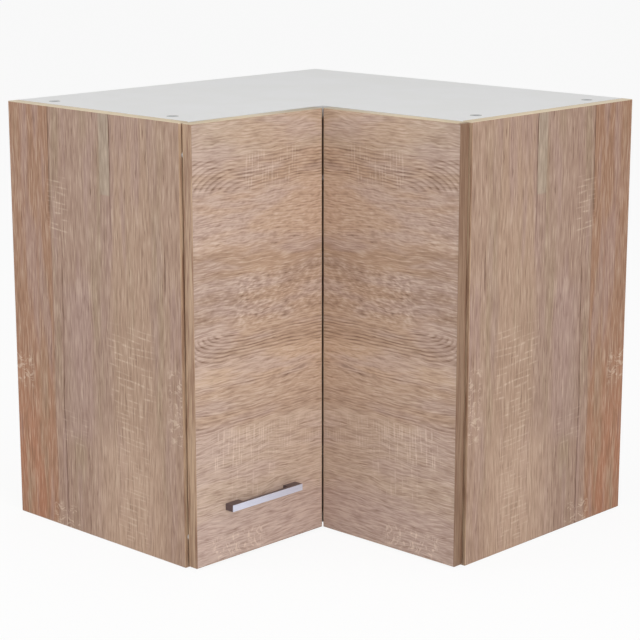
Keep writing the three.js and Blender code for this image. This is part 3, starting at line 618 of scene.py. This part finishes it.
def dressFaces(mesh, base, rules):
    # each rule gives a finish to the faces that lie on one plane: finish, axis, place
    for name in [base] + [rule[0] for rule in rules]:
        mesh.materials.append(finish[name])
    centres = readArray(mesh.polygons, "center", 3)
    normals = readArray(mesh.polygons, "normal", 3)
    index = np.zeros(len(centres), int)
    for number, (_, axis, place) in enumerate(rules, 1):
        near = np.abs(centres[:, axis] - place) < rounding["nearFace"]
        index[near & (np.abs(normals[:, axis]) > rounding["facing"])] = number
    mesh.polygons.foreach_set("material_index", index)
    return centres, index


# Boards: slabs of chipboard between decor faces, with strips round their edges.

board = dict(doorBand=1.0 * mm, panelBand=0.8 * mm, frontBand=0.8 * mm, bandRound=0.7 * mm, arcSteps=4,
             bandGap=0.01 * mm, slabRound=0.18 * mm, longEdge=9 * mm, cornerReach=1.2 * mm,
             dowelRadius=4.2 * mm, dowelReach=9.5 * mm)


def bandProfile(thickness, low, high):
    # closed outline of a strip: how far out from its board, and where along the board's depth; its outer
    # corners are quarter circles
    r = board["bandRound"]
    turn = np.linspace(0, math.pi / 2, board["arcSteps"] + 1)
    start = np.array([[board["bandGap"], low]])
    lower = np.stack([thickness - r + r * np.sin(turn), low + r - r * np.cos(turn)], 1)
    upper = np.stack([thickness - r + r * np.cos(turn), high - r + r * np.sin(turn)], 1)
    return np.concatenate([start, lower, upper, [[board["bandGap"], high]]])


def addStrip(node, path, outs, axis, thickness, closed, finishName):
    # the outline carried round a path: corner + way out of it x first number + depth axis x second number
    low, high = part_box(node)
    profile = bandProfile(thickness, low[axis], high[axis])
    path, outs = np.array(path, float), np.array(outs, float)
    points = path + profile[:, :1, None] * outs + profile[:, 1:, None] * np.eye(3)[axis]
    rows, columns = len(profile), len(path)
    sides = columns if closed else columns - 1
    faces = gridFaces(rows, columns, True, closed).tolist()
    sideOfFace = np.arange(len(faces)) % sides
    if not closed:
        ends = np.arange(rows) * columns
        faces += [ends.tolist(), (ends + columns - 1).tolist()]
        sideOfFace = np.append(sideOfFace, [0, sides - 1])
    mesh = closedMesh(pieceName(node) + "Band", points.reshape(-1, 3), faces)
    # the strip's map: distance along its side, and distance across it
    along = np.roll(path, -1, 0)[:sides] - path[:sides]
    along /= np.linalg.norm(along, axis=1)[:, None]
    side = along[np.repeat(sideOfFace, readArray(mesh.polygons, "loop_total", 1, int)[:, 0])]
    corners = readArray(mesh.vertices, "co", 3)[readArray(mesh.loops, "vertex_index", 1, int)[:, 0]]
    run = (corners * side).sum(1)
    across = (corners * (1 - np.abs(side))).sum(1)
    mesh.uv_layers.new(name="run").data.foreach_set("uv", np.stack([run, across], 1).ravel())
    standIn(node, mesh, finishName, "Band")


def addSlab(node, finishName, decor, shifts=(), bare="chipboard"):
    # a board between its decor faces, bare round its edges
    mesh = roundedMesh(node, board["slabRound"], board["longEdge"], shifts=shifts)
    centres, index = dressFaces(mesh, bare, decor)
    standIn(node, mesh, finishName)
    return mesh, centres, index


def bothFaces(finishName, axis, low, high):
    return [(finishName, axis, low[axis]), (finishName, axis, high[axis])]


def upright(axis, pairs):
    # points in an upright plane: each pair is a place along the axis and a height
    points = np.zeros((len(pairs), 3))
    points[:, [axis, 2]] = pairs
    return points


def makeDoor(node, along):
    # a leaf: decor on both faces, an oak-look strip on all four edges; "along" is its level axis
    low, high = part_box(node)
    depth = 1 - along
    t = board["doorBand"]
    start, stop = low[along], high[along]
    # the end at the inner corner reaches a little further, which narrows the slot between the leaves
    reach = (board["cornerReach"], 0) if abs(start) < abs(stop) else (0, board["cornerReach"])
    left, right, foot, head = start - reach[0] + t, stop + reach[1] - t, low.z + t, high.z - t
    addSlab(node, "oakLevel", bothFaces("oakLevel", depth, low, high),
            [(along, start, left - start), (along, stop, right - stop), (2, low.z, t), (2, high.z, -t)])
    path = upright(along, [(right, head), (right, foot), (left, foot), (left, head)])
    outs = upright(along, [(1, 1), (1, -1), (-1, -1), (-1, 1)])
    addStrip(node, path, outs, depth, t, True, "oakBand")


def makeEndPanel(node, depthAxis, frontSign, outerSide):
    # an end panel: oak outside, white inside, a strip along its front, top and bottom, its rear edge bare
    low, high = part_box(node)
    reach = 1 - depthAxis
    t = board["panelBand"]
    front, rear = (high[reach], low[reach]) if frontSign > 0 else (low[reach], high[reach])
    outer, inner = (low, high) if outerSide < 0 else (high, low)
    addSlab(node, "oakUpright", [("oakUpright", depthAxis, outer[depthAxis]),
                                 ("whiteBoard", depthAxis, inner[depthAxis])],
            [(reach, front, -frontSign * t), (2, low.z, t), (2, high.z, -t)])
    edge, foot, head = front - frontSign * t, low.z + t, high.z - t
    path = upright(reach, [(rear, head), (edge, head), (edge, foot), (rear, foot)])
    outs = upright(reach, [(0, 1), (frontSign, 1), (frontSign, -1), (0, -1)])
    addStrip(node, path, outs, depthAxis, t, False, "oakBand")


def makeCornerBoard(node):
    # top, bottom or shelf: white faces, a white strip along the two fronts, the other edges bare
    low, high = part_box(node)
    t = board["frontBand"]
    points = readArray(frame["nodes"][node].data.vertices, "co", 3)
    front = points[points[:, 1] < low.y + 0.1 * mm, 0].max()
    addSlab(node, "whiteBoard", bothFaces("whiteBoard", 2, low, high), [(0, front, -t), (1, -front, t)])
    path = [(front - t, low.y, 0), (front - t, t - front, 0), (high.x, t - front, 0)]
    addStrip(node, path, [(1, 0, 0), (1, -1, 0), (0, -1, 0)], 2, t, False, "whiteBoard")


def makeBackPanel(node, axis, wallSide):
    # thin panel: white towards the room, bare brown fibre towards the wall
    low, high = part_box(node)
    white = high if wallSide < 0 else low
    addSlab(node, "whiteHardboard", [("whiteHardboard", axis, white[axis])], bare="fibre")


def makePost(node):
    # the corner post: white faces, bare ends, a beech dowel standing out of each end
    low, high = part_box(node)
    middle = (low + high) / 2
    white = bothFaces("whiteBoard", 0, low, high) + bothFaces("whiteBoard", 1, low, high)
    mesh, centres, index = addSlab(node, "whiteBoard", white)
    away = np.hypot(centres[:, 0] - middle.x, centres[:, 1] - middle.y)
    tip = np.abs(centres[:, 2] - middle.z) > (high.z - low.z) / 2 - board["dowelReach"]
    index[(away < board["dowelRadius"]) & tip] = len(mesh.materials)
    mesh.materials.append(finish["beech"])
    mesh.polygons.foreach_set("material_index", index)


print("making the boards and their edge strips")
finishNodes()
makeDoor("left_door", 1)
makeDoor("right_door", 0)
makeEndPanel("left_end_panel", 1, 1, -1)
makeEndPanel("right_end_panel", 0, -1, 1)
for cornerBoard in ("top_panel", "bottom_panel", "shelf"):
    makeCornerBoard(cornerBoard)
makeBackPanel("left_back_panel", 0, -1)
makeBackPanel("right_back_panel", 1, 1)
makePost("rear_corner_post")

# Pressed, cast and moulded pieces keep their shape and get rounded edges: how the names begin, rounding,
# shortest edge.

rounded = (
    (("side_hinge_plate", "fold_hinge_plate"), 0.5 * mm, 1.2 * mm),
    (("side_hinge_arm_link", "side_hinge_cup_link"), 0.3 * mm, 0.2 * mm),
    (("side_hinge_arm", "fold_hinge_arm"), 0.4 * mm, 1.2 * mm), ("hanger_housing", 0.7 * mm, 3.5 * mm),
    ("hanger_hook", 0.4 * mm, 1.5 * mm), (("cam_left", "cam_right"), 0.25 * mm, 0.5 * mm),
)


def makeRounded():
    for node in sorted(frame["nodes"]):
        found = [sizes for start, *sizes in rounded if node.startswith(start)]
        if found:
            standIn(node, roundedMesh(node, *found[0]), finishFor(node))


handleLook = dict(rounding=1.0 * mm, steps=4, shortest=0.9 * mm, brightEdge=1.2 * mm)


def makeHandle():
    mesh = roundedMesh("handle", handleLook["rounding"], handleLook["shortest"], handleLook["steps"])
    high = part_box("handle")[1]
    # painted light and shade: the front gets the lighter copy of the satin metal, the other faces the darker
    # copy
    centres, index = dressFaces(mesh, "satinSide", [("satin", 0, high.x)])
    # painted highlight: the rounded edge above the front gets the lighter copy too
    edge = handleLook["brightEdge"]
    index[(centres[:, 0] > high.x - edge) & (centres[:, 2] > high.z - edge)] = 1
    mesh.polygons.foreach_set("material_index", index)
    addPiece("barHandle", mesh, "satin", bodyOf("handle"), ("handle",))


# Turned pieces: rings of points round an axis. Each ring has a radius for every angle and a height.


def ringShell(radii, heights, centre, axis, up=(0, 0, 1)):
    # point = centre + axis x height + (up x cos angle + side x sin angle) x radius
    radii = np.asarray(radii, float)
    axis, up = np.array(axis, float), np.array(up, float)
    angle = np.arange(radii.shape[1]) * 2 * math.pi / radii.shape[1]
    spoke = np.cos(angle)[:, None] * up + np.sin(angle)[:, None] * np.cross(axis, up)
    points = np.array(centre) + np.asarray(heights)[:, None, None] * axis + radii[:, :, None] * spoke
    return points.reshape(-1, 3), gridFaces(len(radii), radii.shape[1], False, True)


def turned(profile, sides, *place):
    # a profile of (radius, height) turned round the axis of a place
    profile = np.concatenate([np.atleast_2d(part) for part in profile])
    return ringShell(np.repeat(profile[:, :1], sides, 1), profile[:, 1], *place)


def quarter(radius, height, r, start, end, steps=4):
    # points on a circle of radius r round (radius, height), between two angles in degrees
    turn = np.radians(np.linspace(start, end, steps + 1))
    return np.stack([radius + r * np.cos(turn), height + r * np.sin(turn)], 1)


def addTurned(name, shells, finishName, body, nodes=()):
    counts = np.cumsum([0] + [len(points) for points, _ in shells])
    points = np.concatenate([points for points, _ in shells])
    faces = np.concatenate([faces + start for (_, faces), start in zip(shells, counts)])
    addPiece(name, closedMesh(name, points, faces.tolist()), finishName, body, nodes)


def turnNode(node, finishName, *shells):
    addTurned(pieceName(node), shells, finishName, bodyOf(node), (node,))


def crossReach(sides, reach, blade):
    # how far a cross of two bars reaches at each angle
    angle = np.arange(sides) * 2 * math.pi / sides
    cosine, sine = np.abs(np.cos(angle)) + 1e-9, np.abs(np.sin(angle)) + 1e-9
    return np.maximum(np.minimum(reach / cosine, blade / sine), np.minimum(blade / cosine, reach / sine))


def screwShell(look, centre, axis):
    # a screw whose seat is at height 0: cross recess, domed head, and a shank below where it has one
    sides, head, rise = look["sides"], look["head"], look["rise"]
    dome = rise * look["dome"]
    cross = crossReach(sides, look["recess"], look["blade"])
    shank, length, floor = look["shank"], look["length"], rise - look["recessDepth"]
    profile = np.concatenate([quarter(head - dome, rise - dome, dome, 90, 0),
                              [[head, 0], [shank, 0], [shank, -length], [0, -length]]])
    outer = np.repeat(profile[:, :1], sides, 1)
    radii = np.concatenate([[cross * 0, cross * 0.7, cross, cross * 1.04], outer])
    heights = np.concatenate([[floor, floor, rise - look["lip"], rise], profile[:, 1]])
    return ringShell(radii, heights, centre, axis)


def middleOf(node):
    low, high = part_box(node)
    return np.array((low + high) / 2)


def topOf(node, axis):
    # the middle of the face of a node's box that an axis points out of, and just clear of it
    low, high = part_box(node)
    half = np.array(high - low) / 2
    return middleOf(node) + np.array(axis, float) * (half @ np.abs(axis) + screws["spotLift"])


cup = dict(diameter=34.6 * mm, wall=1.3 * mm, depth=11.5 * mm, floor=0.8 * mm, flange=38 * mm,
           lift=0.2 * mm, rim=1.2 * mm, earHalf=8 * mm, earCentre=20 * mm, rounding=0.3 * mm, sides=96,
           pinRadius=1.0 * mm, pinAcross=4 * mm, pinDepth=1.6 * mm, pinClear=0.2 * mm, pinSides=24)


def cupShell(centre, axis):
    # a pot with two ears: rings from the middle of its floor up the inner wall, out over the ears' outline
    # and down the outer wall; the outline at an angle is the farther of the flange circle and the ears
    r, rim, depth = cup["rounding"], cup["rim"], cup["depth"]
    outer = cup["diameter"] / 2
    hollow = outer - cup["wall"]
    angle = np.arange(cup["sides"]) * 2 * math.pi / cup["sides"]
    sine, cosine = np.abs(np.sin(angle)), np.abs(np.cos(angle))
    half, reach = cup["earHalf"], cup["earCentre"]
    tip = np.sqrt(np.maximum(half ** 2 - (reach * sine) ** 2, 0)) + reach * cosine
    flank = half / np.maximum(sine, 1e-9)
    isTip = sine / np.maximum(cosine, 1e-9) < half / reach
    ears = np.maximum(np.where(isTip, tip, flank), cup["flange"] / 2)
    bottom = cup["floor"] - depth
    rings = [(0, bottom), (hollow - 2 * r, bottom), (hollow, bottom + 2 * r), (hollow, rim - r),
             (hollow + r, rim), (ears - r, rim), (ears, rim - r), (ears, cup["lift"]), (outer, cup["lift"]),
             (outer, -depth + 2 * r), (outer - 2 * r, -depth), (0, -depth)]
    radii = [radius * np.ones(cup["sides"]) for radius, _ in rings]
    return ringShell(radii, [height for _, height in rings], centre, axis)


def cupCentre(place):
    # on the right leaf's back, where the mouth of a side hinge's cup lies
    x, _, z = middleOf("side_hinge_cup_" + place)
    return np.array([x, rightDoorBack, z])


def makeCups():
    across, radius, clear = cup["pinAcross"], cup["pinRadius"], cup["pinClear"]
    for place in ("lower", "upper"):
        centre = cupCentre(place)
        hollow = cup["diameter"] / 2 - cup["wall"]
        foot = math.sqrt(hollow ** 2 - across ** 2) + cup["wall"] / 2
        profile = [[0, 0], [radius, 0], [radius, foot - 2 * clear], [radius * 0.7, foot - clear],
                   [0, foot - clear]]
        base = centre + [across, -cup["pinDepth"], -foot]
        pin = turned(profile, cup["pinSides"], base, (0, 0, 1), (1, 0, 0))
        turnNode("side_hinge_cup_" + place, "steel", cupShell(centre, (0, 1, 0)), pin)
        centre = middleOf("fold_hinge_cup_" + place)
        centre[0] = leftDoorBack
        turnNode("fold_hinge_cup_" + place, "steel", cupShell(centre, (-1, 0, 0)))


shelfPin = dict(peg=2.5 * mm, head=4.0 * mm, insert=9 * mm, reach=8 * mm, lift=0.2 * mm, pegRound=0.8 * mm,
                headRound=0.9 * mm, sides=40)


def makePins():
    # shelf pins: peg, shoulder and rounded head, the head away from the board that holds the peg
    peg, head, insert, reach = (shelfPin[key] for key in ("peg", "head", "insert", "reach"))
    small, large = shelfPin["pegRound"], shelfPin["headRound"]
    profile = [[0, -insert], quarter(peg - small, -insert + small, small, -90, 0), [peg, shelfPin["lift"]],
               [head, shelfPin["lift"]], quarter(head - large, reach - large, large, 0, 90), [0, reach]]
    ways = {"left": (0, 1, 0), "right": (-1, 0, 0), "post": (1, 0, 0)}
    for node in sorted(frame["nodes"]):
        if node.startswith("shelf_pin"):
            axis = np.array(ways[node.split("_")[2]], float)
            seat = middleOf(node) + axis * (insert - reach) / 2
            turnNode(node, "steel", turned(profile, shelfPin["sides"], seat, axis))


doorBumper = dict(radius=4.5 * mm, low=0.2 * mm, high=1.7 * mm, rounding=1.1 * mm, sides=40)


def makeBumpers():
    # soft domes on the left leaf's back, flattened where the panel's edge meets them
    radius, low, high, r = (doorBumper[key] for key in ("radius", "low", "high", "rounding"))
    profile = [[0, low], [radius, low], quarter(radius - r, high - r, r, 0, 90, 6), [0, high]]
    for node in ("door_bumper_lower", "door_bumper_upper"):
        centre = middleOf(node)
        centre[0] = leftDoorBack
        turnNode(node, "bumper", turned(profile, doorBumper["sides"], centre, (-1, 0, 0)))


def screwLook(sides, *sizes):
    names = ("head", "rise", "recess", "blade", "recessDepth", "shank", "length")
    return dict(zip(names, (size * mm for size in sizes)), sides=sides, dome=0.6, lip=0.08 * mm)


screws = dict(
    # sides, then in mm: radius and height of the head, reach, half width and depth of the cross, radius and
    # length of the shank
    handle=screwLook(64, 4.0, 2.4, 2.3, 0.50, 1.3, 2.0, 22.8),
    plate=screwLook(48, 3.6, 1.3, 2.1, 0.50, 0.9, 0.5, 0.0),
    ear=screwLook(48, 3.2, 1.0, 1.9, 0.45, 0.7, 0.5, 0.0),
    arm=screwLook(48, 3.1, 1.1, 1.9, 0.45, 0.8, 0.5, 0.0),
    hanger=screwLook(48, 2.7, 1.4, 1.8, 0.45, 0.9, 2.0, 3.4),
    plateReach=16 * mm, armSpots=(-14 * mm, 6 * mm), spotLift=0.02 * mm, hangerInset=2.6 * mm,
)


def makeScrews():
    for node in ("handle_screw_outer", "handle_screw_inner"):
        seat = middleOf(node)
        seat[0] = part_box(node)[0].x + screws["handle"]["rise"]
        turnNode(node, "steel", screwShell(screws["handle"], seat, (-1, 0, 0)))
    groups = (  # name, hinge part, out of its seat, which screw, distance from its middle, body
        ("sidePlateScrews", "side_hinge_plate_", (-1, 0, 0), "plate", screws["plateReach"], "carcass"),
        ("foldPlateScrews", "fold_hinge_plate_", (0, 1, 0), "plate", screws["plateReach"], "right_leaf"),
        ("sideCupScrews", "side_hinge_cup_", (0, 1, 0), "ear", cup["earCentre"], "right_leaf"),
        ("foldCupScrews", "fold_hinge_cup_", (-1, 0, 0), "ear", cup["earCentre"], "left_leaf"),
    )
    for name, part, axis, kind, reach, body in groups:
        shells = [screwShell(screws[kind], topOf(part + place, axis) + [0, 0, way * reach], axis)
                  for place in ("lower", "upper") for way in (-1, 1)]
        addTurned(name, shells, "steel", body)


def makeArmScrews():
    # fixing and adjusting screws on the flat top of each arm, level with its mounting plate
    arms = (("side", (-1, 0, 0), 1, "carcass"), ("fold", (0, 1, 0), 0, "right_leaf"))
    for kind, axis, along, body in arms:
        shells = []
        for place in ("lower", "upper"):
            plate = middleOf(f"{kind}_hinge_plate_{place}")
            seat = topOf(f"{kind}_hinge_arm_{place}", axis)
            seat[2] = plate[2]
            for spot in screws["armSpots"]:
                seat[along] = plate[along] + spot
                shells.append(screwShell(screws["arm"], seat, axis))
        addTurned(kind + "ArmScrews", shells, "steel", body)


rivet = dict(radius=1.55 * mm, rise=0.55 * mm, sink=0.1 * mm, sides=32, joint=(-13.1 * mm, -0.8 * mm),
             pivot=(1.8 * mm, -7.8 * mm), linkTop=3.0 * mm, tongueTop=6.5 * mm)


def makeRivets():
    # domed heads where the links' joint and the arm's pivot come through
    radius, rise, sink = rivet["radius"], rivet["rise"], -rivet["sink"]
    profile = [[0, sink], [radius, sink], quarter(radius - rise, 0, rise, 0, 90), [0, rise]]
    for name, spot, height, body in (("armLinkRivets", "joint", rivet["linkTop"], "arm_links"),
                                     ("cupLinkRivets", "joint", -rivet["linkTop"], "cup_links"),
                                     ("armPivotRivets", "pivot", rivet["tongueTop"], "carcass")):
        shells = [turned(profile, rivet["sides"], cupCentre(place) + [*rivet[spot], height],
                         (0, 0, np.sign(height)), (1, 0, 0)) for place in ("lower", "upper")]
        addTurned(name, shells, "steel", body)


def makeHangerScrews():
    # the height screw in each hanger's front bore
    for side, axis in (("left", (1, 0, 0)), ("right", (0, -1, 0))):
        node = "hanger_housing_" + side
        seat = topOf(node, axis) - np.array(axis, float) * screws["hangerInset"]
        addTurned(side + "HangerScrew", [screwShell(screws["hanger"], seat, axis)], "steel", "carcass")


print("making the fittings")
makeRounded()
makeHandle()
makeCups()
makePins()
makeBumpers()
makeScrews()
makeArmScrews()
makeRivets()
makeHangerScrews()

# Floor, light and camera

studio = dict(
    floorSize=80.0, floorDrop=0.0006, floorColour=(250, 250, 250), floorGlow=0.90,
    skyColour=(255, 255, 255), skyLight=0.45, skySeen=0.94,
    # lamps: name, place, size, watts
    lamps=(("keyLamp", (2.45, -1.2, 0.95), 1.4, 29.0), ("sideLamp", (-1.75, -2.1, 0.95), 1.4, 17.0),
           ("topLamp", (0.3, -0.3, 3.5), 2.4, 30.0), ("lowLamp", (2.4, -1.3, 0.25), 0.9, 3.5)),
    aim=(0.0, 0.0, 0.3),
)


def floorMaterial():
    # pale floor, which the camera and mirrors see nearly white with the object's shadow left on it
    w = Wiring("paleFloor")
    seen = w.times(w.seenDirectly(), studio["floorGlow"])
    diffuse = w.add("ShaderNodeBsdfDiffuse", [("Color", studio["floorColour"])])
    glow = w.add("ShaderNodeEmission")
    return w.close(w.add("ShaderNodeMixShader", enumerate((seen, diffuse, glow))))


def makeFloor():
    half = studio["floorSize"] / 2
    outline = ((-half, -half), (half, -half), (half, half), (-half, half))
    mesh = bpy.data.meshes.new("floor")
    mesh.from_pydata([(x, y, -studio["floorDrop"]) for x, y in outline], [], [(0, 1, 2, 3)])
    mesh.materials.append(floorMaterial())
    floor = bpy.data.objects.new("floor", mesh)
    bpy.context.collection.objects.link(floor)


def makeSky():
    # a plain sky that lights softly, and that the camera and mirrors see as pale as the floor
    w = Wiring("studioSky", bpy.data.worlds.new("studioSky"))
    strength = w.span(w.seenDirectly(), 0.0, 1.0, studio["skyLight"], studio["skySeen"], "LINEAR")
    sky = w.add("ShaderNodeBackground", (("Color", studio["skyColour"]), ("Strength", strength)))
    bpy.context.scene.world = w.close(sky, "ShaderNodeOutputWorld")


def makeLamps():
    for name, place, size, watts in studio["lamps"]:
        lamp = bpy.data.lights.new(name, "AREA")
        lamp.size = size
        lamp.energy = watts
        holder = bpy.data.objects.new(name, lamp)
        holder.location = place
        holder.rotation_euler = (Vector(place) - Vector(studio["aim"])).to_track_quat("Z", "Y").to_euler()
        holder.visible_camera = False
        bpy.context.collection.objects.link(holder)


cameraPlan = dict(azimuth=43.73, elevation=12.94, distance=2.7453, target=(-0.0025, 0.0, 0.2748),
                  lens=110.74)


def makeCamera():
    turn = math.radians(cameraPlan["azimuth"])
    rise = math.radians(cameraPlan["elevation"])
    back = Vector((math.sin(turn) * math.cos(rise), -math.cos(turn) * math.cos(rise), math.sin(rise)))
    data = bpy.data.cameras.new("camera")
    data.lens = cameraPlan["lens"]
    camera = bpy.data.objects.new("camera", data)
    camera.location = Vector(cameraPlan["target"]) + back * cameraPlan["distance"]
    camera.rotation_euler = back.to_track_quat("Z", "Y").to_euler()
    bpy.context.collection.objects.link(camera)
    bpy.context.scene.camera = camera


print("setting the stage")
makeFloor()
makeSky()
makeLamps()
makeCamera()
bpy.context.scene.view_settings.view_transform = "Standard"
